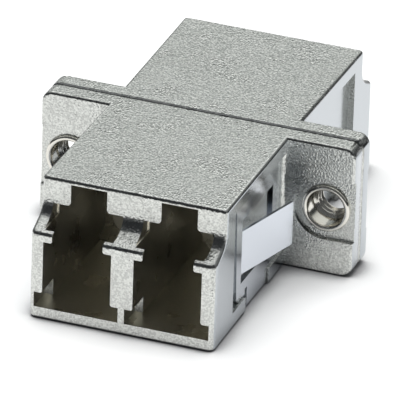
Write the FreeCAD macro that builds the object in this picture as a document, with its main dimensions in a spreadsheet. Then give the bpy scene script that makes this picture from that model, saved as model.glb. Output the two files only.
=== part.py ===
import FreeCAD, Part
import math
import os
import re
import Sketcher

# LC duplex fibre adapter: two die-cast halves, two threaded bushings, a spring clip and
# two split sleeves. X runs along the flange, Y along the fibres and Z up. The origin is in
# the parting plane, midway between the two ports, on the flat underside. Millimetres throughout.

SIZES = {
    # flange, one half
    "flange_width": 22.0,
    "flange_depth": 1.45,
    "flange_corner": 0.8,
    "flange_edge": 0.2,
    "parting_bevel": 0.2,
    # body, one half: reaches are measured from the parting plane
    "body_height": 9.35,
    "root_width": 12.54,
    "mouth_width": 12.8,
    "root_start": 0.4,
    "lip_reach": 15.0,
    "face_reach": 13.05,
    "body_corner": 0.45,
    "edge_round": 0.25,
    # scooped step between the upper face and the lip
    "scoop_start": 7.9,
    "scoop_radius": 1.3,
    "ledge_slope": 25.0,
    "lip_round": 0.3,
    # ports, measured at the right-hand one
    "port_pitch": 6.25,
    "port_width": 4.7,
    "port_floor": 0.85,
    "port_top": 5.6,
    "port_bottom_reach": 2.0,
    "gallery_top": 7.55,
    "lip_depth": 0.35,
    "lip_gap": 3.5,
    "lip_height": 0.8,
    "hood_width": 4.85,
    "hood_depth": 0.85,
    "slot_width": 2.5,
    "slot_top": 9.05,
    "latch_wall": 1.7,
    "chamber_width": 4.4,
    "chamber_top": 8.65,
    "chamber_bottom_reach": 5.0,
    "groove_top": 1.9,
    "groove_inner": 0.22,
    "groove_outer": 6.05,
    "groove_depth": 2.0,
    "block_round": 0.25,
    "lip_corner": 0.15,
    # sleeve barrels
    "axis_height": 3.2,
    "barrel_diameter": 2.75,
    "barrel_reach": 4.9,
    "ferrule_bore": 1.27,
    "sleeve_bore": 1.7,
    "sleeve_bore_reach": 3.45,
    # side recess, clip notch and clip channel
    "recess_floor": 5.95,
    "recess_front": 11.4,
    "recess_bottom": 1.15,
    "recess_top": 8.35,
    "notch_front": 8.85,
    "notch_back": 4.35,
    "channel_depth": 0.25,
    # ears
    "ear_pitch": 18.0,
    "ear_height": 4.675,
    "ear_pocket_radius": 2.2,
    "ear_pocket_depth": 0.3,
    "ear_hole": 3.0,
    # threaded bushings
    "shank_diameter": 2.96,
    "rim_diameter": 3.34,
    "rim_height": 0.27,
    "rim_round": 0.12,
    "bush_mouth": 2.56,
    "bush_mouth_end": -0.05,
    "thread_start": 0.15,
    "thread_diameter": 2.05,
    "head_diameter": 3.9,
    "head_height": 0.25,
    # spring clip
    "sheet": 0.2,
    "plate_front_top": 10.55,
    "plate_front_low": 10.15,
    "plate_back": 2.8,
    "plate_top": 8.25,
    "plate_low": 1.2,
    "plate_cut": 1.8,
    "plate_round": 0.45,
    "band_front": 8.15,
    "band_back": 4.45,
    "bend_relief": 0.4,
    "window_front": 9.4,
    "window_back": 3.7,
    "window_low": 2.35,
    "window_top": 6.95,
    "tongue_low": 3.05,
    "tongue_top": 6.15,
    "tongue_length": 5.65,
    "tongue_tilt": 15.8,
    "bend_round": 0.2,
    # split sleeves
    "sleeve_length": 6.8,
    "sleeve_outer": 1.64,
    "sleeve_inner": 1.25,
    "sleeve_slit": 0.3,
}

# Pockets of the right-hand port and ear: plane, where the cut starts, where it ends,
# and its rectangle as left, right, bottom, top. XZ cuts run from the parting plane outwards.
PORT = "port_pitch / 2"
PAST_LIP = "lip_reach + 1"
POCKETS = (
    ("plug_port", "XZ_Plane", "port_bottom_reach", PAST_LIP,
     (f"{PORT} - port_width / 2", f"{PORT} + port_width / 2", "port_floor", "port_top")),
    ("gallery", "XZ_Plane", "port_bottom_reach", "lip_reach - lip_depth",
     (f"{PORT} - port_width / 2", f"{PORT} + port_width / 2", "port_top", "gallery_top")),
    ("lip_gap", "XZ_Plane", "lip_reach - lip_depth", PAST_LIP,
     (f"{PORT} - lip_gap / 2", f"{PORT} + lip_gap / 2", "port_top", "gallery_top")),
    ("hood", "XZ_Plane", "face_reach - hood_depth", PAST_LIP,
     (f"{PORT} - hood_width / 2", f"{PORT} + hood_width / 2",
      "port_top + lip_height", "gallery_top")),
    ("latch_slot", "XZ_Plane", "chamber_bottom_reach", PAST_LIP,
     (f"{PORT} - slot_width / 2", f"{PORT} + slot_width / 2", "gallery_top", "slot_top")),
    ("latch_chamber", "XZ_Plane", "chamber_bottom_reach", "face_reach - latch_wall",
     (f"{PORT} - chamber_width / 2", f"{PORT} + chamber_width / 2", "gallery_top", "chamber_top")),
    ("corner_groove", "XZ_Plane", "lip_reach - groove_depth", PAST_LIP,
     ("groove_inner", "groove_outer", "port_floor", "groove_top")),
    ("side_recess", "YZ_Plane", "recess_floor", "mouth_width / 2 + 1",
     ("-recess_front", "-flange_depth", "recess_bottom", "recess_top")),
    ("clip_notch", "YZ_Plane", "recess_floor", "mouth_width / 2 + 1",
     ("-notch_front", "-notch_back", "-1", "recess_bottom")),
)


def linked(expression):
    """Write each size's name in an expression as a reference to its cell."""
    return re.sub(r"[a-z_]+", lambda found: ("Sizes." if found[0] in SIZES else "") + found[0], expression)


def value(document, expression):
    return float(document.Sizes.evalExpression(linked(expression)))


def make_sheet(document):
    sheet = document.addObject("Spreadsheet::Sheet", "Sizes")
    for row, (name, size) in enumerate(SIZES.items(), start=1):
        sheet.set(f"A{row}", name)
        sheet.set(f"B{row}", str(size))
        sheet.setAlias(f"B{row}", name)
    document.recompute()


def origin_plane(body, role):
    return next(item for item in body.Origin.OriginFeatures if item.Role == role)


def new_sketch(body, name, role, offset="0"):
    """A sketch on one of the body's own planes, moved along the plane's normal."""
    sketch = body.newObject("Sketcher::SketchObject", name)
    sketch.AttachmentSupport = [(origin_plane(body, role), "")]
    sketch.MapMode = "FlatFace"
    sketch.setExpression(".AttachmentOffset.Base.z", linked(offset))
    return sketch


def name_constraint(sketch, name, expression, *constraint):
    number = sketch.addConstraint(
        Sketcher.Constraint(*constraint, value(sketch.Document, expression)))
    sketch.renameConstraint(number, name)
    sketch.setExpression(f"Constraints.{name}", linked(expression))


def draw_outline(sketch, corners):
    """A closed outline of straight lines whose corners are pairs of expressions."""
    points = [FreeCAD.Vector(value(sketch.Document, x), value(sketch.Document, y), 0)
              for x, y in corners]
    count = len(points)
    for start in range(count):
        sketch.addGeometry(Part.LineSegment(points[start], points[(start + 1) % count]))
    for start in range(count):
        sketch.addConstraint(Sketcher.Constraint("Coincident", start, 2, (start + 1) % count, 1))
    for start, (x, y) in enumerate(corners):
        name_constraint(sketch, f"across{start}", x, "DistanceX", -1, 1, start, 1)
        name_constraint(sketch, f"along{start}", y, "DistanceY", -1, 1, start, 1)


def draw_rectangle(sketch, left, right, bottom, top):
    draw_outline(sketch, ((left, bottom), (right, bottom), (right, top), (left, top)))


def draw_circle(sketch, x, y, diameter):
    centre = FreeCAD.Vector(value(sketch.Document, x), value(sketch.Document, y), 0)
    radius = value(sketch.Document, diameter) / 2
    number = sketch.addGeometry(Part.Circle(centre, FreeCAD.Vector(0, 0, 1), radius))
    name_constraint(sketch, f"across{number}", x, "DistanceX", -1, 1, number, 3)
    name_constraint(sketch, f"along{number}", y, "DistanceY", -1, 1, number, 3)
    name_constraint(sketch, f"diameter{number}", diameter, "Diameter", number)


def add_solid(body, name, sketch, length):
    """Pad the sketch along its plane's normal."""
    pad = body.newObject("PartDesign::Pad", name)
    pad.Profile = sketch
    pad.setExpression("Length", linked(length))
    body.Document.recompute()
    return pad


def cut_away(body, name, sketch, length):
    """Pocket the sketch along its plane's normal, and make sure that it removes something."""
    before = body.Shape.Volume
    pocket = body.newObject("PartDesign::Pocket", name)
    pocket.Profile = sketch
    pocket.Reversed = True
    pocket.setExpression("Length", linked(length))
    body.Document.recompute()
    if body.Shape.Volume >= before:
        raise RuntimeError(f"{body.Label}: {name} removes nothing")
    return pocket


def edge_names(shape, wanted):
    return [f"Edge{number}" for number, edge in enumerate(shape.Edges, start=1) if wanted(edge)]


def round_edges(body, name, radius, wanted):
    """Round the edges of the body for which wanted(edge) holds."""
    base = body.Tip
    fillet = body.newObject("PartDesign::Fillet", name)
    fillet.Base = (base, edge_names(base.Shape, wanted))
    fillet.setExpression("Radius", linked(radius))
    body.Document.recompute()


def span(edge, axis):
    """The low and high coordinate of an edge along X, Y or Z."""
    box = edge.BoundBox
    return {"X": (box.XMin, box.XMax), "Y": (box.YMin, box.YMax), "Z": (box.ZMin, box.ZMax)}[axis]


def lies_at(edge, axis, place):
    low, high = span(edge, axis)
    return abs(low - place) < 0.01 and abs(high - place) < 0.01


def runs_along(edge, axis):
    low, high = span(edge, axis)
    return abs(high - low - edge.Length) < 0.01


def add_flange(body):
    sketch = new_sketch(body, "FlangeOutline", "XZ_Plane")
    draw_rectangle(sketch, "-flange_width / 2", "flange_width / 2", "0", "body_height")
    add_solid(body, "Flange", sketch, "flange_depth")
    round_edges(body, "FlangeCorners", "flange_corner", lambda edge: runs_along(edge, "Y"))
    front = -value(body.Document, "flange_depth")
    round_edges(body, "FlangeEdge", "flange_edge", lambda edge: lies_at(edge, "Y", front))
    base = body.Tip
    bevel = body.newObject("PartDesign::Chamfer", "PartingBevel")
    bevel.Base = (base, edge_names(base.Shape, lambda edge: lies_at(edge, "Y", 0)))
    bevel.setExpression("Size", linked("parting_bevel"))
    body.Document.recompute()


def add_tapered_body(body):
    """The body widens a little from the flange to its mouth."""
    sketch = new_sketch(body, "BodyPlan", "XY_Plane")
    draw_outline(sketch, (("-root_width / 2", "-root_start"), ("-mouth_width / 2", "-lip_reach"),
                          ("mouth_width / 2", "-lip_reach"), ("root_width / 2", "-root_start")))
    add_solid(body, "Body", sketch, "body_height")
    mouth = -value(body.Document, "lip_reach")
    round_edges(body, "BodyCorners", "body_corner",
                lambda edge: runs_along(edge, "Z") and lies_at(edge, "Y", mouth))


def draw_scoop(sketch):
    """The room in front of the upper face: a straight drop, a concave arc and a sloping ledge."""
    document = sketch.Document
    face = -value(document, "face_reach")
    past_lip = -value(document, PAST_LIP)
    start = value(document, "scoop_start")
    above = value(document, "body_height + 1")
    radius = value(document, "scoop_radius")
    slope = math.radians(value(document, "ledge_slope"))
    centre = FreeCAD.Vector(face - radius, start, 0)
    arc_end = centre + FreeCAD.Vector(math.sin(slope), -math.cos(slope), 0) * radius
    fall = (arc_end.x - past_lip) * math.tan(slope)
    circle = Part.Circle(centre, FreeCAD.Vector(0, 0, 1), radius)
    points = [FreeCAD.Vector(past_lip, above, 0), FreeCAD.Vector(face, above, 0),
              FreeCAD.Vector(face, start, 0), FreeCAD.Vector(past_lip, arc_end.y - fall, 0)]
    drop = sketch.addGeometry(Part.LineSegment(points[1], points[2]))
    bend = sketch.addGeometry(Part.ArcOfCircle(circle, slope - math.pi / 2, 0))
    ledge = sketch.addGeometry(Part.LineSegment(points[3], arc_end))
    outside = sketch.addGeometry(Part.LineSegment(points[0], points[3]))
    roof = sketch.addGeometry(Part.LineSegment(points[0], points[1]))
    sketch.addConstraint(Sketcher.Constraint("Tangent", drop, 2, bend, 2))
    sketch.addConstraint(Sketcher.Constraint("Tangent", bend, 1, ledge, 2))
    sketch.addConstraint(Sketcher.Constraint("Coincident", ledge, 1, outside, 2))
    sketch.addConstraint(Sketcher.Constraint("Coincident", outside, 1, roof, 1))
    sketch.addConstraint(Sketcher.Constraint("Coincident", roof, 2, drop, 1))
    sketch.addConstraint(Sketcher.Constraint("Vertical", drop))
    sketch.addConstraint(Sketcher.Constraint("Vertical", outside))
    sketch.addConstraint(Sketcher.Constraint("Horizontal", roof))
    name_constraint(sketch, "face", "-face_reach", "DistanceX", -1, 1, drop, 2)
    name_constraint(sketch, "start", "scoop_start", "DistanceY", -1, 1, drop, 2)
    name_constraint(sketch, "radius", "scoop_radius", "Radius", bend)
    name_constraint(sketch, "outside", f"-({PAST_LIP})", "DistanceX", -1, 1, roof, 1)
    name_constraint(sketch, "above", "body_height + 1", "DistanceY", -1, 1, roof, 1)
    number = sketch.addConstraint(Sketcher.Constraint("Angle", ledge, slope))
    sketch.renameConstraint(number, "slope")
    sketch.setExpression("Constraints.slope", linked("ledge_slope * 1 deg"))


def cut_scoop(body):
    sketch = new_sketch(body, "ScoopProfile", "YZ_Plane", "-mouth_width")
    draw_scoop(sketch)
    cut_away(body, "Scoop", sketch, "mouth_width * 2")
    document = body.Document
    mouth = -value(document, "lip_reach")
    face = -value(document, "face_reach")
    top = value(document, "body_height")

    def lip_edge(edge):
        return runs_along(edge, "X") and lies_at(edge, "Y", mouth) and span(edge, "Z")[0] > 1
    round_edges(body, "LipRound", "lip_round", lip_edge)

    def outer_edge(edge):
        front = runs_along(edge, "X") and (lies_at(edge, "Y", face) and lies_at(edge, "Z", top)
                                           or lies_at(edge, "Y", mouth) and lies_at(edge, "Z", 0))
        low, high = span(edge, "Y")
        return front or (high - low > 5 and (lies_at(edge, "Z", top) or lies_at(edge, "Z", 0)))
    round_edges(body, "BodyEdges", "edge_round", outer_edge)


def cut_ear(body):
    """The pocket round the ear's hole is open to the flange's end."""
    document = body.Document
    sketch = new_sketch(body, "EarPocketOutline", "XZ_Plane", "flange_depth - ear_pocket_depth")
    middle = FreeCAD.Vector(value(document, "ear_pitch / 2"), value(document, "ear_height"), 0)
    radius = value(document, "ear_pocket_radius")
    reach = FreeCAD.Vector(value(document, "flange_width / 2 + 1"), 0, 0)
    up = FreeCAD.Vector(0, radius, 0)
    outer = FreeCAD.Vector(reach.x, middle.y, 0)
    circle = Part.Circle(middle, FreeCAD.Vector(0, 0, 1), radius)
    bend = sketch.addGeometry(Part.ArcOfCircle(circle, math.pi / 2, 3 * math.pi / 2))
    upper = sketch.addGeometry(Part.LineSegment(middle + up, outer + up))
    lower = sketch.addGeometry(Part.LineSegment(outer - up, middle - up))
    end = sketch.addGeometry(Part.LineSegment(outer + up, outer - up))
    sketch.addConstraint(Sketcher.Constraint("Tangent", upper, 1, bend, 1))
    sketch.addConstraint(Sketcher.Constraint("Tangent", bend, 2, lower, 2))
    sketch.addConstraint(Sketcher.Constraint("Coincident", upper, 2, end, 1))
    sketch.addConstraint(Sketcher.Constraint("Coincident", end, 2, lower, 1))
    sketch.addConstraint(Sketcher.Constraint("Horizontal", upper))
    sketch.addConstraint(Sketcher.Constraint("Vertical", end))
    name_constraint(sketch, "middle", "ear_pitch / 2", "DistanceX", -1, 1, bend, 3)
    name_constraint(sketch, "height", "ear_height", "DistanceY", -1, 1, bend, 3)
    name_constraint(sketch, "radius", "ear_pocket_radius", "Radius", bend)
    name_constraint(sketch, "end", "flange_width / 2 + 1", "DistanceX", -1, 1, end, 1)
    pocket = cut_away(body, "EarPocket", sketch, "ear_pocket_depth + 1")
    hole_sketch = new_sketch(body, "EarHoleOutline", "XZ_Plane", "-1")
    draw_circle(hole_sketch, "ear_pitch / 2", "ear_height", "ear_hole")
    return [pocket, cut_away(body, "EarHole", hole_sketch, "flange_depth + 2")]


def add_barrel(body):
    """The barrel round the split sleeve stands in the port and is bored from both ends."""
    sketch = new_sketch(body, "BarrelOutline", "XZ_Plane", "port_bottom_reach - 0.5")
    draw_circle(sketch, PORT, "axis_height", "barrel_diameter")
    features = [add_solid(body, "Barrel", sketch, "barrel_reach - port_bottom_reach + 0.5")]
    bores = (("SleeveBore", "sleeve_bore", "sleeve_bore_reach + 1"),
             ("FerruleBore", "ferrule_bore", "barrel_reach + 2"))
    for name, diameter, length in bores:
        bore_sketch = new_sketch(body, f"{name}Outline", "XZ_Plane", "-1")
        draw_circle(bore_sketch, PORT, "axis_height", diameter)
        features.append(cut_away(body, name, bore_sketch, length))
    return features


def mirror_features(body, features):
    """Repeat the right-hand features on the left."""
    mirrored = body.newObject("PartDesign::Mirrored", "LeftSide")
    mirrored.Originals = features
    mirrored.MirrorPlane = (origin_plane(body, "YZ_Plane"), [""])
    body.Tip = mirrored
    body.Document.recompute()


def round_mouth(body):
    """Soften the corners seen in the mouth: those of the block over the ports, the lips and the divider."""
    document = body.Document
    port = value(document, PORT)
    corners = (
        ("BlockCorners", "block_round", "gallery_top", value(document, "slot_width / 2")),
        ("LipCorners", "lip_corner", "port_top", value(document, "lip_gap / 2")),
        ("DividerCorners", "lip_corner", "groove_top", value(document, "port_width / 2")))
    for name, radius, height, reach in corners:
        level = value(document, height)

        def at_corner(edge):
            across = abs(abs(abs(edge.BoundBox.Center.x) - port) - reach)
            return runs_along(edge, "Y") and across < 0.01 and lies_at(edge, "Z", level)
        round_edges(body, name, radius, at_corner)


def build_housing(document, label, turn):
    """One die-cast half. Both halves come from one mould, and the rear one is turned round."""
    body = document.addObject("PartDesign::Body", label)
    body.Label = label
    add_flange(body)
    add_tapered_body(body)
    cut_scoop(body)
    channel = new_sketch(body, "ClipChannelOutline", "XY_Plane", "-1")
    draw_rectangle(channel, "-mouth_width", "mouth_width", "-notch_front", "-notch_back")
    cut_away(body, "ClipChannel", channel, "channel_depth + 1")
    features = []
    for name, role, start, end, sides in POCKETS:
        sketch = new_sketch(body, f"{name}_outline", role, start)
        draw_rectangle(sketch, *sides)
        features.append(cut_away(body, name, sketch, f"{end} - ({start})"))
    features += add_barrel(body)
    features += cut_ear(body)
    mirror_features(body, features)
    round_mouth(body)
    body.Placement = FreeCAD.Placement(FreeCAD.Vector(), FreeCAD.Rotation(FreeCAD.Vector(0, 0, 1), turn))
    return body


def build_bushing(document, label, side):
    """A tubular bushing: a rolled rim in front, a plain mouth, a thread, and a flat head behind."""
    body = document.addObject("PartDesign::Body", label)
    body.Label = label
    sketch = new_sketch(body, "HalfSection", "XY_Plane")
    seat = "(flange_depth - ear_pocket_depth)"
    draw_outline(sketch, (
        ("bush_mouth / 2", f"-{seat} - rim_height"), ("rim_diameter / 2", f"-{seat} - rim_height"),
        ("rim_diameter / 2", f"-{seat}"), ("shank_diameter / 2", f"-{seat}"),
        ("shank_diameter / 2", seat), ("head_diameter / 2", seat),
        ("head_diameter / 2", f"{seat} + head_height"), ("thread_diameter / 2", f"{seat} + head_height"),
        ("thread_diameter / 2", "thread_start"), ("bush_mouth / 2", "bush_mouth_end")))
    turned = body.newObject("PartDesign::Revolution", "Turned")
    turned.Profile = sketch
    turned.ReferenceAxis = (sketch, ["V_Axis"])
    turned.Angle = 360
    document.recompute()
    front = -value(document, f"{seat} + rim_height")
    outside = value(document, "rim_diameter / 2")
    round_edges(body, "RimRound", "rim_round",
                lambda edge: lies_at(edge, "Y", front) and span(edge, "X")[1] > outside - 0.01)
    body.setExpression(".Placement.Base.x", linked(f"{side} * ear_pitch / 2"))
    body.setExpression(".Placement.Base.z", linked("ear_height"))
    return body


def draw_clip_plate(sketch):
    draw_outline(sketch, (
        ("-plate_front_top", "plate_top"), ("-plate_back - plate_cut", "plate_top"),
        ("-plate_back", "plate_top - plate_cut"), ("-plate_back", "plate_low"),
        ("-band_back", "plate_low"), ("-band_back", "channel_depth - sheet"),
        ("-band_front", "channel_depth - sheet"), ("-band_front", "plate_low + bend_relief"),
        ("-band_front - bend_relief", "plate_low + bend_relief"),
        ("-band_front - bend_relief", "plate_low"), ("-plate_front_low", "plate_low")))


def build_clip(document, label):
    """One folded strip: two side plates with sprung tongues, joined by a band under the body."""
    body = document.addObject("PartDesign::Body", label)
    body.Label = label
    sketch = new_sketch(body, "PlateOutline", "YZ_Plane", "recess_floor")
    draw_clip_plate(sketch)
    plate = add_solid(body, "Plate", sketch, "sheet")
    window_sketch = new_sketch(body, "WindowOutline", "YZ_Plane", "recess_floor - 1")
    draw_rectangle(window_sketch, "-window_front", "-window_back", "window_low", "window_top")
    window = cut_away(body, "Window", window_sketch, "sheet + 2")
    band_sketch = new_sketch(body, "BandOutline", "XY_Plane", "channel_depth - sheet")
    draw_rectangle(band_sketch, "0", "recess_floor + sheet", "-band_front", "-band_back")
    band = add_solid(body, "Band", band_sketch, "sheet")
    tongue_sketch = new_sketch(body, "TonguePlan", "XY_Plane", "tongue_low")
    draw_outline(tongue_sketch, (
        ("recess_floor", "-window_front - sheet"), ("recess_floor + sheet", "-window_front - sheet"),
        ("recess_floor + sheet", "-window_front"),
        ("recess_floor + sheet + tongue_length * sin(tongue_tilt)",
         "-window_front + tongue_length * cos(tongue_tilt)"),
        ("recess_floor + sheet + tongue_length * sin(tongue_tilt) - sheet * cos(tongue_tilt)",
         "-window_front + tongue_length * cos(tongue_tilt) + sheet * sin(tongue_tilt)"),
        ("recess_floor", "-window_front + sheet * tan(tongue_tilt / 2)")))
    tongue = add_solid(body, "Tongue", tongue_sketch, "tongue_top - tongue_low")
    mirror_features(body, [plate, window, band, tongue])
    low = value(document, "channel_depth - sheet")
    side = value(document, "recess_floor + sheet")
    corner_y = -value(document, "plate_front_low")
    corner_z = value(document, "plate_low")

    def bend_edge(edge):
        outermost = abs(abs(edge.BoundBox.Center.x) - side) < 0.01
        return outermost and runs_along(edge, "Y") and lies_at(edge, "Z", low)
    round_edges(body, "Bends", "bend_round", bend_edge)

    def plate_corner(edge):
        return runs_along(edge, "X") and lies_at(edge, "Y", corner_y) and lies_at(edge, "Z", corner_z)
    round_edges(body, "PlateCorners", "plate_round", plate_corner)
    return body


def bind_cylinder(document, name, diameter, length):
    """A cylinder lying along Y, midway across the parting plane."""
    cylinder = document.addObject("Part::Cylinder", name)
    cylinder.setExpression("Radius", linked(f"{diameter} / 2"))
    cylinder.setExpression("Height", linked(length))
    cylinder.Placement.Rotation = FreeCAD.Rotation(FreeCAD.Vector(1, 0, 0), 90)
    cylinder.setExpression(".Placement.Base.y", linked(f"({length}) / 2"))
    return cylinder


def build_sleeve(document, label, side):
    """A zirconia sleeve, split along its top so that it grips both ferrules."""
    outside = bind_cylinder(document, f"{label}_outside", "sleeve_outer", "sleeve_length")
    inside = bind_cylinder(document, f"{label}_inside", "sleeve_inner", "sleeve_length + 2")
    slit = document.addObject("Part::Box", f"{label}_slit")
    for size, expression in (("Length", "sleeve_slit"), ("Width", "sleeve_length + 2"),
                             ("Height", "sleeve_outer"), (".Placement.Base.x", "-sleeve_slit / 2"),
                             (".Placement.Base.y", "-sleeve_length / 2 - 1")):
        slit.setExpression(size, linked(expression))
    tube = document.addObject("Part::Cut", f"{label}_tube")
    tube.Base = outside
    tube.Tool = inside
    sleeve = document.addObject("Part::Cut", label)
    sleeve.Label = label
    sleeve.Base = tube
    sleeve.Tool = slit
    sleeve.setExpression(".Placement.Base.x", linked(f"{side} * {PORT}"))
    sleeve.setExpression(".Placement.Base.z", linked("axis_height"))
    return sleeve


def check(document, pieces):
    """Stop if any object failed to rebuild or any piece is not one sound solid."""
    for item in document.Objects:
        if {"Invalid", "Error"} & set(item.State):
            raise RuntimeError(f"{item.Name} failed: {item.State}")
    for piece in pieces:
        shape = piece.Shape
        if shape.isNull() or not shape.isValid() or len(shape.Solids) != 1:
            raise RuntimeError(f"{piece.Label} is not one valid solid")


def main():
    document = FreeCAD.newDocument("LcAdapter")
    make_sheet(document)
    pieces = [build_housing(document, "front_housing", 0), build_housing(document, "rear_housing", 180)]
    for name, side in (("left", -1), ("right", 1)):
        pieces.append(build_bushing(document, f"{name}_bushing", side))
        pieces.append(build_sleeve(document, f"{name}_sleeve", side))
    pieces.append(build_clip(document, "spring_clip"))
    document.recompute()
    check(document, pieces)
    os.makedirs("parts", exist_ok=True)
    for piece in pieces:
        piece.Shape.exportStep(f"parts/{piece.Label}.step")
        print(f"{piece.Label}: {piece.Shape.Volume:.2f} mm3, {len(piece.Shape.Faces)} faces")


main()
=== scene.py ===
import bpy
from math import cos, radians, sin
from mathutils import Euler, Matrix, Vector


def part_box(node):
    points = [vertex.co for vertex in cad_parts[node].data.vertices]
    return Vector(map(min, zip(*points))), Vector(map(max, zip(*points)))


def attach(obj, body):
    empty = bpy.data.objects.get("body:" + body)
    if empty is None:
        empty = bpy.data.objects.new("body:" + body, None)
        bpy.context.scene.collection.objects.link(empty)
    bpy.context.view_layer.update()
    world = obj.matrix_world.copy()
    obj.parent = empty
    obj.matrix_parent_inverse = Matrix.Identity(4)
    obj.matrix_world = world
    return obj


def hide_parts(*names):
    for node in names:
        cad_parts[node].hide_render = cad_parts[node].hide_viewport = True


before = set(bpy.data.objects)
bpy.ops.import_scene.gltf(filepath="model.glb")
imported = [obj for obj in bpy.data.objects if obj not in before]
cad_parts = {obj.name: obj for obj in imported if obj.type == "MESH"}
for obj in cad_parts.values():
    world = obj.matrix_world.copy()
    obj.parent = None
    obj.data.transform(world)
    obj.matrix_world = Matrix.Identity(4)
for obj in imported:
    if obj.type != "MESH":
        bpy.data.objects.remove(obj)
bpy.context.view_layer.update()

MM = 0.001
X, Y, Z = range(3)


# ---------------------------------------------------------------- handling

def use_only(piece):
    """Make a piece the one that the next operators act on."""
    bpy.ops.object.select_all(action="DESELECT")
    piece.select_set(True)
    bpy.context.view_layer.objects.active = piece


def edit(piece):
    use_only(piece)
    bpy.ops.object.mode_set(mode="EDIT")


def stop_editing():
    bpy.ops.object.mode_set(mode="OBJECT")


def settle(piece):
    """Put a piece's place, turn and scale into its mesh."""
    use_only(piece)
    bpy.ops.object.transform_apply(location=True, rotation=True, scale=True)


def apply_all(piece):
    use_only(piece)
    for modifier in list(piece.modifiers):
        bpy.ops.object.modifier_apply(modifier=modifier.name)


def hand_over(piece, node):
    """The piece stands for the CAD node that it was made round."""
    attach(piece, "root")
    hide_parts(node)


# ---------------------------------------------------------------- node groups

def new_group(name, inputs, outputs):
    group = bpy.data.node_groups.new(name, "ShaderNodeTree")
    for label, kind, start in inputs:
        socket = group.interface.new_socket(label, in_out="INPUT", socket_type=kind)
        socket.default_value = start
    for label, kind in outputs:
        group.interface.new_socket(label, in_out="OUTPUT", socket_type=kind)
    return group, group.nodes.new("NodeGroupInput"), group.nodes.new("NodeGroupOutput")


def add_node(tree, kind, **settings):
    node = tree.nodes.new(kind)
    for name, setting in settings.items():
        setattr(node, name, setting)
    return node


def feed(tree, source, target):
    """Join a socket to an input, or set the input where the source is a plain value."""
    if isinstance(source, bpy.types.NodeSocket):
        tree.links.new(source, target)
    else:
        target.default_value = source


def math(tree, operation, first, second=0.0):
    node = add_node(tree, "ShaderNodeMath", operation=operation)
    feed(tree, first, node.inputs[0])
    feed(tree, second, node.inputs[1])
    return node.outputs[0]


def mix_values(tree, factor, first, second):
    node = add_node(tree, "ShaderNodeMix", data_type="FLOAT")
    feed(tree, factor, node.inputs[0])
    feed(tree, first, node.inputs[2])
    feed(tree, second, node.inputs[3])
    return node.outputs[0]


def mix_colours(tree, factor, first, second):
    node = add_node(tree, "ShaderNodeMix", data_type="RGBA")
    feed(tree, factor, node.inputs[0])
    feed(tree, first, node.inputs[6])
    feed(tree, second, node.inputs[7])
    return node.outputs[2]


def spread(tree, source, low, high, start=0.0, end=1.0):
    """Stretch a value from low..high to start..end, without going past either."""
    node = add_node(tree, "ShaderNodeMapRange", interpolation_type="SMOOTHSTEP")
    feed(tree, source, node.inputs["Value"])
    node.inputs["From Min"].default_value = low
    node.inputs["From Max"].default_value = high
    node.inputs["To Min"].default_value = start
    node.inputs["To Max"].default_value = end
    return node.outputs["Result"]


def noise(tree, place, scale, detail=2.0):
    node = add_node(tree, "ShaderNodeTexNoise")
    feed(tree, place, node.inputs["Vector"])
    feed(tree, scale, node.inputs["Scale"])
    node.inputs["Detail"].default_value = detail
    return node.outputs["Fac"]


def millimetres(tree):
    """Object coordinates in millimetres."""
    place = add_node(tree, "ShaderNodeTexCoord").outputs["Object"]
    scale = add_node(tree, "ShaderNodeVectorMath", operation="SCALE")
    feed(tree, place, scale.inputs[0])
    scale.inputs["Scale"].default_value = 1 / MM
    return scale.outputs[0]


GRAIN_SIZE = 0.13
PEBBLE_SMOOTHNESS = 0.4
PEBBLE_SHARE = 0.55
SPECK_FINENESS = 1.13
SPECK_RANGE = (0.32, 0.68)


def make_grain():
    """The fine pebbled skin of a die casting: a height, and a mask of bright specks that the materials
    paint in as glints, a painted highlight over the grain.
    """
    group, start, end = new_group(
        "cast grain",
        (("Grain", "NodeSocketFloat", GRAIN_SIZE), ("Depth", "NodeSocketFloat", 1.0)),
        (("Height", "NodeSocketFloat"), ("Glints", "NodeSocketFloat")))
    place = millimetres(group)
    fineness = math(group, "DIVIDE", 1.0, start.outputs["Grain"])
    fine = noise(group, place, fineness, detail=0.0)
    pebbles = add_node(group, "ShaderNodeTexVoronoi", feature="SMOOTH_F1")
    feed(group, place, pebbles.inputs["Vector"])
    feed(group, fineness, pebbles.inputs["Scale"])
    pebbles.inputs["Smoothness"].default_value = PEBBLE_SMOOTHNESS
    height = mix_values(group, PEBBLE_SHARE, fine, pebbles.outputs["Distance"])
    group.links.new(math(group, "MULTIPLY", height, start.outputs["Depth"]), end.inputs["Height"])
    other = noise(group, place, math(group, "MULTIPLY", fineness, SPECK_FINENESS), detail=0.0)
    group.links.new(spread(group, other, *SPECK_RANGE), end.inputs["Glints"])
    return group


GRAIN = make_grain()


def place_group(tree, group, **values):
    node = add_node(tree, "ShaderNodeGroup", node_tree=group)
    for name, value in values.items():
        feed(tree, value, node.inputs[name])
    return node.outputs


# ---------------------------------------------------------------- materials

def new_material(name, metallic=1.0):
    material = bpy.data.materials.new(name)
    material.use_nodes = True
    shader = material.node_tree.nodes["Principled BSDF"]
    shader.inputs["Metallic"].default_value = metallic
    return material, material.node_tree, shader


def add_bump(tree, shader, height, strength, depth):
    bump = add_node(tree, "ShaderNodeBump")
    feed(tree, height, bump.inputs["Height"])
    bump.inputs["Strength"].default_value = strength
    bump.inputs["Distance"].default_value = depth
    tree.links.new(bump.outputs["Normal"], shader.inputs["Normal"])


def facing(tree, axis):
    """How squarely a face looks along an axis, from 0 to 1, whichever way."""
    normal = add_node(tree, "ShaderNodeNewGeometry").outputs["True Normal"]
    parts = add_node(tree, "ShaderNodeSeparateXYZ")
    tree.links.new(normal, parts.inputs[0])
    return math(tree, "ABSOLUTE", parts.outputs[axis])
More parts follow.
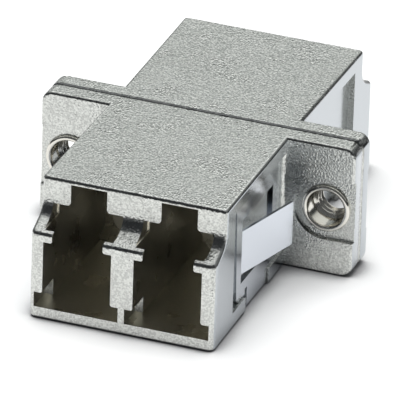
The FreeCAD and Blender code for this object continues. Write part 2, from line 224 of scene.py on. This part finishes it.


# The metals: each pair of colours is the darker and the lighter end of its clouding.
# Painted light by facing: the fronts are painted darker and the tops lighter.
FRONT_PAINTED_SHADE_GROUND = (0.47, 0.48, 0.46, 1), (0.52, 0.525, 0.505, 1)
# Painted highlight: the specks' bright colour is painted glints, brighter on the tops than the fronts.
FRONT_PAINTED_GLINTS = (0.67, 0.68, 0.65, 1)
TOP_PAINTED_LIGHT_GROUND = (0.50, 0.52, 0.50, 1), (0.57, 0.585, 0.565, 1)
TOP_PAINTED_GLINTS = (0.95, 0.96, 0.93, 1)
# Painted reflection: the sides' bluish colour stands in for what their smooth faces reflect.
SIDE_PAINTED_REFLECTION = (0.46, 0.485, 0.51, 1)
# Painted dark reflection on rounded edges and the webs' arcs, where faces turn from level to upright.
EDGE_PAINTED_DARK_REFLECTION = (0.07, 0.075, 0.08, 1)
EDGE_DARK_REFLECTION_SHARE = 0.8
# Painted light: the port walls get their own lighter, warmer copy of the nickel's colour, tuned for the
# shade inside the ports.
PORT_PAINTED_LIGHT_COLOURS = (0.68, 0.655, 0.57, 1), (0.78, 0.755, 0.67, 1)
STRIP_COLOURS = (0.56, 0.59, 0.64, 1), (0.62, 0.645, 0.69, 1)
BRASS_PLATE_COLOURS = (0.66, 0.64, 0.58, 1), (0.74, 0.72, 0.67, 1)
ZIRCONIA_COLOURS = (0.84, 0.82, 0.76, 1), (0.90, 0.89, 0.85, 1)
CASTING_RELIEF = 0.05 * MM
FRONT_RELIEF = 0.8
TOP_RELIEF = 1.5
SIDE_RELIEF = 0.1
SIDE_ROUGHNESS = 0.16
MIDDLE = (0.3, 0.7)


def make_cast_nickel():
    """Nickel plate on the casting's outer faces: pebbled on top and in front, smoother at the sides.

    The colour carries painted light: tops are painted lighter than fronts, the bright specks are painted
    glints over the grain, and the sides carry a painted bluish reflection. Rounded edges and the webs'
    arcs, where a face turns from level to upright, are painted darker as a painted dark reflection.
    """
    material, tree, shader = new_material("cast_nickel")
    side = spread(tree, facing(tree, X), 0.8, 0.95)
    level = facing(tree, Z)
    top = spread(tree, level, 0.9, 0.97)
    # Mask of faces turning from level to upright, which get a painted dark reflection.
    turned = math(tree, "MULTIPLY", spread(tree, level, 0.2, 0.4), spread(tree, level, 0.8, 0.92, 1.0, 0.0))
    grain = place_group(tree, GRAIN, Grain=GRAIN_SIZE, Depth=1.0)
    place = millimetres(tree)
    cloud = noise(tree, place, 0.45, detail=3.0)
    # Painted light by facing: darker colours for fronts, lighter for tops, a painted reflection tint for
    # the sides.
    front_painted_shade_ground = mix_colours(tree, cloud, *FRONT_PAINTED_SHADE_GROUND)
    front_painted_shade_skin = mix_colours(tree, grain["Glints"], front_painted_shade_ground, FRONT_PAINTED_GLINTS)
    top_painted_light_ground = mix_colours(tree, cloud, *TOP_PAINTED_LIGHT_GROUND)
    top_painted_light_skin = mix_colours(tree, grain["Glints"], top_painted_light_ground, TOP_PAINTED_GLINTS)
    pebbled = mix_colours(tree, top, front_painted_shade_skin, top_painted_light_skin)
    plain = mix_colours(tree, side, pebbled, SIDE_PAINTED_REFLECTION)
    colour = mix_colours(tree, math(tree, "MULTIPLY", turned, EDGE_DARK_REFLECTION_SHARE), plain, EDGE_PAINTED_DARK_REFLECTION)
    tree.links.new(colour, shader.inputs["Base Color"])
    rough = mix_values(tree, side, spread(tree, cloud, *MIDDLE, 0.26, 0.34), SIDE_ROUGHNESS)
    tree.links.new(rough, shader.inputs["Roughness"])
    relief = mix_values(tree, side, mix_values(tree, top, FRONT_RELIEF, TOP_RELIEF), SIDE_RELIEF)
    add_bump(tree, shader, math(tree, "MULTIPLY", grain["Height"], relief), 1.0, CASTING_RELIEF)
    return material


def make_port_painted_light():
    """The walls deep in the ports, where little light reaches: a copy of the nickel whose lighter, warmer
    colour is painted light tuned for these shaded walls.
    """
    material, tree, shader = new_material("port_painted_light")
    place = millimetres(tree)
    cloud = noise(tree, place, 0.5, detail=3.0)
    colour = mix_colours(tree, cloud, *PORT_PAINTED_LIGHT_COLOURS)
    tree.links.new(colour, shader.inputs["Base Color"])
    tree.links.new(spread(tree, cloud, *MIDDLE, 0.25, 0.4), shader.inputs["Roughness"])
    grain = place_group(tree, GRAIN, Grain=0.2, Depth=0.2)
    add_bump(tree, shader, grain["Height"], 1.0, CASTING_RELIEF)
    return material


def make_spring_strip():
    """Rolled stainless strip with faint lines along it."""
    material, tree, shader = new_material("spring_strip")
    place = millimetres(tree)
    stretch = add_node(tree, "ShaderNodeMapping")
    tree.links.new(place, stretch.inputs["Vector"])
    stretch.inputs["Scale"].default_value = (1.0, 0.5, 14.0)
    lines = noise(tree, stretch.outputs[0], 1.6, detail=3.0)
    colour = mix_colours(tree, lines, *STRIP_COLOURS)
    tree.links.new(colour, shader.inputs["Base Color"])
    tree.links.new(spread(tree, lines, *MIDDLE, 0.13, 0.2), shader.inputs["Roughness"])
    add_bump(tree, shader, lines, 0.3, 0.004 * MM)
    return material


def make_plated_brass():
    """Bright nickel over turned brass."""
    material, tree, shader = new_material("plated_brass")
    place = millimetres(tree)
    stretch = add_node(tree, "ShaderNodeMapping")
    tree.links.new(place, stretch.inputs["Vector"])
    stretch.inputs["Scale"].default_value = (0.6, 12.0, 0.6)
    rings = noise(tree, stretch.outputs[0], 1.5, detail=2.0)
    colour = mix_colours(tree, rings, *BRASS_PLATE_COLOURS)
    tree.links.new(colour, shader.inputs["Base Color"])
    tree.links.new(spread(tree, rings, *MIDDLE, 0.1, 0.2), shader.inputs["Roughness"])
    add_bump(tree, shader, rings, 0.4, 0.006 * MM)
    return material


def make_zirconia():
    """Ground white zirconia."""
    material, tree, shader = new_material("zirconia", metallic=0.0)
    place = millimetres(tree)
    cloud = noise(tree, place, 2.0, detail=3.0)
    colour = mix_colours(tree, cloud, *ZIRCONIA_COLOURS)
    tree.links.new(colour, shader.inputs["Base Color"])
    tree.links.new(spread(tree, cloud, *MIDDLE, 0.16, 0.26), shader.inputs["Roughness"])
    add_bump(tree, shader, noise(tree, place, 12.0), 0.2, 0.004 * MM)
    return material


# ---------------------------------------------------------------- pieces

WELD = 0.0005 * MM
FLATNESS = radians(0.6)


def merged_copy(node, name):
    """A copy of a CAD node's mesh with its triangles joined into whole faces."""
    piece = bpy.data.objects.new(name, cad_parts[node].data.copy())
    bpy.context.scene.collection.objects.link(piece)
    edit(piece)
    bpy.ops.mesh.select_all(action="SELECT")
    bpy.ops.mesh.remove_doubles(threshold=WELD)
    bpy.ops.mesh.dissolve_limited(angle_limit=FLATNESS)
    stop_editing()
    return piece


EDGE_SOFTNESS = 0.08 * MM
SHARPEST_LEFT = radians(50)


def soften(piece):
    """Round the sharp edges and keep the flats flat."""
    bevel = piece.modifiers.new("soft edges", "BEVEL")
    bevel.width = EDGE_SOFTNESS
    bevel.segments = 2
    bevel.limit_method = "ANGLE"
    bevel.angle_limit = SHARPEST_LEFT
    bevel.use_clamp_overlap = True
    bevel.miter_outer = "MITER_ARC"
    even = piece.modifiers.new("flat flats", "WEIGHTED_NORMAL")
    even.keep_sharp = True
    use_only(piece)
    bpy.ops.object.shade_smooth()
    apply_all(piece)


WEB_FILLET = 0.35 * MM
FLANGE_FACE = 1.45 * MM
ROOT_SIDES = (5.8 * MM, 6.5 * MM)
SHORTEST_CORNER = 2 * MM
SLACK = 0.02 * MM


def round_web_corners(piece, front):
    """Widen the upright inside corners where the body's sides run into the flange."""
    edit(piece)
    bpy.ops.mesh.select_all(action="DESELECT")
    stop_editing()
    mesh = piece.data
    for edge in mesh.edges:
        low, high = (mesh.vertices[index].co for index in edge.vertices)
        upright = abs(low.x - high.x) + abs(low.y - high.y) < SLACK / 2
        at_flange = abs(low.y - front) < SLACK and ROOT_SIDES[0] < abs(low.x) < ROOT_SIDES[1]
        edge.select = upright and at_flange and abs(high.z - low.z) > SHORTEST_CORNER
    edit(piece)
    bpy.ops.mesh.select_mode(type="EDGE")
    bpy.ops.mesh.bevel(offset=WEB_FILLET, segments=4, affect="EDGES")
    stop_editing()


CAVITY_SIDE = 6.1 * MM
OUTER_SKIN = 5.5 * MM
JUNCTION_SIDE = 5.8 * MM
JUNCTION_END = 2.5 * MM
CAVITY_FLOOR = 0.8 * MM
CAVITY_TOP = 9.1 * MM
MOUTH_SKIN = 12.9 * MM
TURNED_AWAY = 0.3


def is_cavity_wall(face):
    """Whether a face lines a port, apart from the grainy ends that look out of the mouth."""
    place = face.center
    inside = abs(place.x) < CAVITY_SIDE and CAVITY_FLOOR < place.z < CAVITY_TOP
    looks_out = face.normal.y * place.y > TURNED_AWAY * abs(place.y)
    looks_aside = face.normal.x * place.x > TURNED_AWAY * abs(place.x)
    at_mouth = looks_out and abs(place.y) > MOUTH_SKIN
    outside = looks_aside and abs(place.x) > OUTER_SKIN
    at_junction = abs(place.x) > JUNCTION_SIDE and abs(place.y) < JUNCTION_END
    return inside and not at_mouth and not outside and not at_junction


def coat(mesh, *materials):
    mesh.materials.clear()
    for material in materials:
        mesh.materials.append(material)


def make_housing(node, skin, cavity_painted_light):
    piece = merged_copy(node, f"{node}_shell")
    round_web_corners(piece, -FLANGE_FACE if node == "front_housing" else FLANGE_FACE)
    soften(piece)
    coat(piece.data, skin, cavity_painted_light)
    # Port walls take the painted-light copy of the nickel.
    for face in piece.data.polygons:
        face.material_index = 1 if is_cavity_wall(face) else 0
    hand_over(piece, node)


ROUND = 64
RIM_FRONT = -1.42 * MM
RIM_OUTER = 1.67 * MM
MOUTH = 1.28 * MM
SEAT = 1.15 * MM
SHANK = 1.48 * MM
HEAD = 1.95 * MM
HEAD_END = 1.4 * MM
EASE = 0.06 * MM
SHOULDER_START = -0.05 * MM
SHOULDER_END = 0.15 * MM
CREST = 1.03 * MM
ROOT = 1.24 * MM
PITCH = 0.45 * MM
RIDGE_FOOT = PITCH * 0.44
RIDGE_CREST = PITCH / 14
RIDGE_SUNK = 0.01 * MM


def arc(centre, size, start, end, steps=6):
    """Points of an arc as radius and depth, with angles from the outward direction."""
    turns = [radians(start + (end - start) * step / steps) for step in range(steps + 1)]
    return [(centre[0] + size * cos(turn), centre[1] + size * sin(turn)) for turn in turns]


def bushing_outline():
    """Half the bushing's section, once round from the outside of the rolled rim."""
    roll = (RIM_OUTER - MOUTH) / 2
    rim = arc(((RIM_OUTER + MOUTH) / 2, RIM_FRONT + roll), roll, 0, -180, 12)
    bore = [(MOUTH, SHOULDER_START), (CREST, SHOULDER_END), (CREST, SHOULDER_END + EASE),
            (ROOT, SHOULDER_END + 3 * EASE), (ROOT, HEAD_END - 3 * EASE), (ROOT + EASE, HEAD_END)]
    head = arc((HEAD - EASE, HEAD_END - EASE), EASE, 90, 0, 3) + [(HEAD, SEAT), (SHANK, SEAT)]
    return rim + bore + head + [(SHANK, -SEAT), (RIM_OUTER, -SEAT)]


def turn_outline(name, outline):
    """Draw a ring through each point of a section, and join the last to the first."""
    first_radius, first_depth = outline[0]
    bpy.ops.object.select_all(action="DESELECT")
    bpy.ops.mesh.primitive_circle_add(vertices=ROUND, radius=first_radius, rotation=(radians(90), 0, 0),
                                      location=(0, first_depth, 0))
    piece = bpy.context.object
    piece.name = name
    settle(piece)
    edit(piece)
    bpy.ops.mesh.select_all(action="SELECT")
    radius, depth = first_radius, first_depth
    for next_radius, next_depth in outline[1:]:
        bpy.ops.mesh.extrude_region_move(TRANSFORM_OT_translate={"value": (0, next_depth - depth, 0)})
        ratio = next_radius / radius
        bpy.ops.transform.resize(value=(ratio, 1, ratio), center_override=(0, next_depth, 0))
        radius, depth = next_radius, next_depth
    bpy.ops.mesh.select_mode(type="EDGE")
    bpy.ops.mesh.select_all(action="DESELECT")
    bpy.ops.mesh.select_non_manifold()
    bpy.ops.mesh.bridge_edge_loops()
    bpy.ops.mesh.select_all(action="SELECT")
    bpy.ops.mesh.normals_make_consistent(inside=False)
    stop_editing()
    return piece


def cut_thread():
    """A ridge that climbs round the bore wall from the shoulder to the head."""
    foot = ROOT + RIDGE_SUNK
    section = [(foot, -RIDGE_FOOT), (CREST, -RIDGE_CREST), (CREST, RIDGE_CREST), (foot, RIDGE_FOOT)]
    start = SHOULDER_END + 2 * EASE + RIDGE_FOOT
    bpy.ops.object.select_all(action="DESELECT")
    bpy.ops.mesh.primitive_plane_add(size=MM)
    ridge = bpy.context.object
    ridge.name = "thread"
    for vertex, (radius, depth) in zip((ridge.data.vertices[index] for index in (0, 1, 3, 2)), section):
        vertex.co = (radius, start + depth, 0)
    edit(ridge)
    bpy.ops.mesh.select_all(action="SELECT")
    bpy.ops.mesh.delete(type="ONLY_FACE")
    stop_editing()
    screw = ridge.modifiers.new("climb", "SCREW")
    screw.axis = "Y"
    screw.screw_offset = PITCH
    screw.iterations = 2
    screw.steps = ROUND
    screw.render_steps = ROUND
    screw.use_normal_calculate = True
    apply_all(ridge)
    edit(ridge)
    bpy.ops.mesh.select_all(action="SELECT")
    bpy.ops.mesh.fill_holes(sides=6)
    bpy.ops.mesh.normals_make_consistent(inside=False)
    stop_editing()
    return ridge


def make_bushing(side, skin):
    node = f"{side}_bushing"
    low, high = (Vector(corner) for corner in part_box(node))
    piece = turn_outline(f"{side}_threaded_bushing", bushing_outline())
    ridge = cut_thread()
    bpy.ops.object.select_all(action="DESELECT")
    ridge.select_set(True)
    piece.select_set(True)
    bpy.context.view_layer.objects.active = piece
    bpy.ops.object.join()
    piece.location = ((low.x + high.x) / 2, 0, (low.z + high.z) / 2)
    settle(piece)
    bpy.ops.object.shade_smooth_by_angle(angle=radians(35))
    coat(piece.data, skin)
    hand_over(piece, node)


# ---------------------------------------------------------------- studio

# The camera looks at the mouth from its right and from above, through a very long lens.
AZIMUTH = radians(19.73)
ELEVATION = radians(26.71)
ROLL = radians(1.91)
DISTANCE = 594.34 * MM
AIM_SIDE = -0.11 * MM
AIM_UP = 2.55 * MM
LENS = 810
SENSOR = 36


def place_camera():
    data = bpy.data.cameras.new("camera")
    data.lens = LENS
    data.sensor_width = SENSOR
    camera = bpy.data.objects.new("camera", data)
    bpy.context.scene.collection.objects.link(camera)
    turn = Euler((radians(90) - ELEVATION, 0, AZIMUTH)).to_matrix() @ Euler((0, 0, ROLL)).to_matrix()
    camera.matrix_world = turn.to_4x4()
    camera.location = turn @ Vector((AIM_SIDE, AIM_UP, DISTANCE))
    bpy.context.scene.camera = camera


def sine(angle):
    """A height above the horizon as the ramps read it."""
    return (sin(radians(angle)) + 1) / 2


def ramp(tree, source, stops):
    node = add_node(tree, "ShaderNodeValToRGB")
    tree.links.new(source, node.inputs[0])
    node.color_ramp.interpolation = "EASE"
    elements = node.color_ramp.elements
    while len(elements) < len(stops):
        elements.new(0.5)
    for element, (angle, level) in zip(elements, stops):
        element.position = sine(angle)
        element.color = (*level, 1)
    return node.outputs["Color"]


# The room by height above the horizon: an angle in degrees and the colour there.
ROOM_BEHIND = ((-16, (0.03, 0.03, 0.03)), (12, (0.06, 0.065, 0.065)), (21, (0.68, 0.70, 0.68)),
               (34, (0.84, 0.86, 0.84)), (60, (1.0, 1.02, 1.02)), (90, (1.4, 1.4, 1.4)))
ROOM_BEFORE = ((-16, (0.03, 0.03, 0.03)), (1, (0.05, 0.05, 0.055)), (25, (0.12, 0.125, 0.13)),
               (74, (0.11, 0.115, 0.12)), (84, (1.1, 1.1, 1.1)), (90, (1.4, 1.4, 1.4)))
ROOM_SEAM = (-0.25, 0.15)


def make_sky():
    """A room that is bright overhead and behind the object, and dark on the camera's side."""
    world = bpy.data.worlds.new("studio")
    bpy.context.scene.world = world
    world.use_nodes = True
    tree = world.node_tree
    tree.nodes.clear()
    direction = add_node(tree, "ShaderNodeTexCoord").outputs["Generated"]
    parts = add_node(tree, "ShaderNodeSeparateXYZ")
    tree.links.new(direction, parts.inputs[0])
    height = math(tree, "MULTIPLY_ADD", parts.outputs[Z], 0.5)
    height.node.inputs[2].default_value = 0.5
    behind = ramp(tree, height, ROOM_BEHIND)
    before = ramp(tree, height, ROOM_BEFORE)
    front = spread(tree, parts.outputs[Y], *ROOM_SEAM, 1.0, 0.0)
    room = mix_colours(tree, front, behind, before)
    background = add_node(tree, "ShaderNodeBackground")
    output = add_node(tree, "ShaderNodeOutputWorld")
    tree.links.new(room, background.inputs["Color"])
    tree.links.new(background.outputs[0], output.inputs["Surface"])


LAMP_PLACE = Vector((-25, -10, 300)) * MM
LAMP_AIM = Vector((0, 0, 5)) * MM
LAMP_SIZE = 300 * MM
LAMP_POWER = 0.95


def add_lamp():
    """A wide lamp that lights the paper; the metal shows the room instead."""
    bpy.ops.object.light_add(type="AREA", location=LAMP_PLACE)
    lamp = bpy.context.object
    lamp.name = "overhead"
    lamp.data.shape = "SQUARE"
    lamp.data.size = LAMP_SIZE
    lamp.data.energy = LAMP_POWER
    lamp.visible_glossy = False
    lamp.rotation_euler = (LAMP_AIM - LAMP_PLACE).to_track_quat("-Z", "Y").to_euler()


FLOOR_RADIUS = 120 * MM
FLOOR_DROP = 0.01 * MM
CONTACT_REACH = 2 * MM
PAPER = (0.93, 0.93, 0.93, 1)
CONTACT_SHADE = (0.25, 0.25, 0.26, 1)


def lay_floor():
    """White paper, with a painted contact shadow: a darker band where something stands close above it."""
    bpy.ops.object.select_all(action="DESELECT")
    bpy.ops.mesh.primitive_circle_add(vertices=ROUND, radius=FLOOR_RADIUS, fill_type="NGON",
                                      location=(0, 0, -FLOOR_DROP))
    floor = bpy.context.object
    floor.name = "floor"
    material, tree, shader = new_material("paper", metallic=0.0)
    close = add_node(tree, "ShaderNodeAmbientOcclusion", samples=8)
    close.inputs["Distance"].default_value = CONTACT_REACH
    shade = spread(tree, close.outputs["AO"], 0.35, 0.85)
    tree.links.new(mix_colours(tree, shade, CONTACT_SHADE, PAPER), shader.inputs["Base Color"])
    shader.inputs["Roughness"].default_value = 0.9
    shader.inputs["Specular IOR Level"].default_value = 0.1
    floor.data.materials.append(material)


cast_nickel = make_cast_nickel()
port_painted_light = make_port_painted_light()
spring_strip = make_spring_strip()
plated_brass = make_plated_brass()
zirconia = make_zirconia()

make_housing("front_housing", cast_nickel, port_painted_light)
make_housing("rear_housing", cast_nickel, port_painted_light)
coat(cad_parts["spring_clip"].data, spring_strip)
for side in ("left", "right"):
    make_bushing(side, plated_brass)
    coat(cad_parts[f"{side}_sleeve"].data, zirconia)

place_camera()
make_sky()
add_lamp()
lay_floor()
bpy.context.scene.view_settings.view_transform = "Standard"
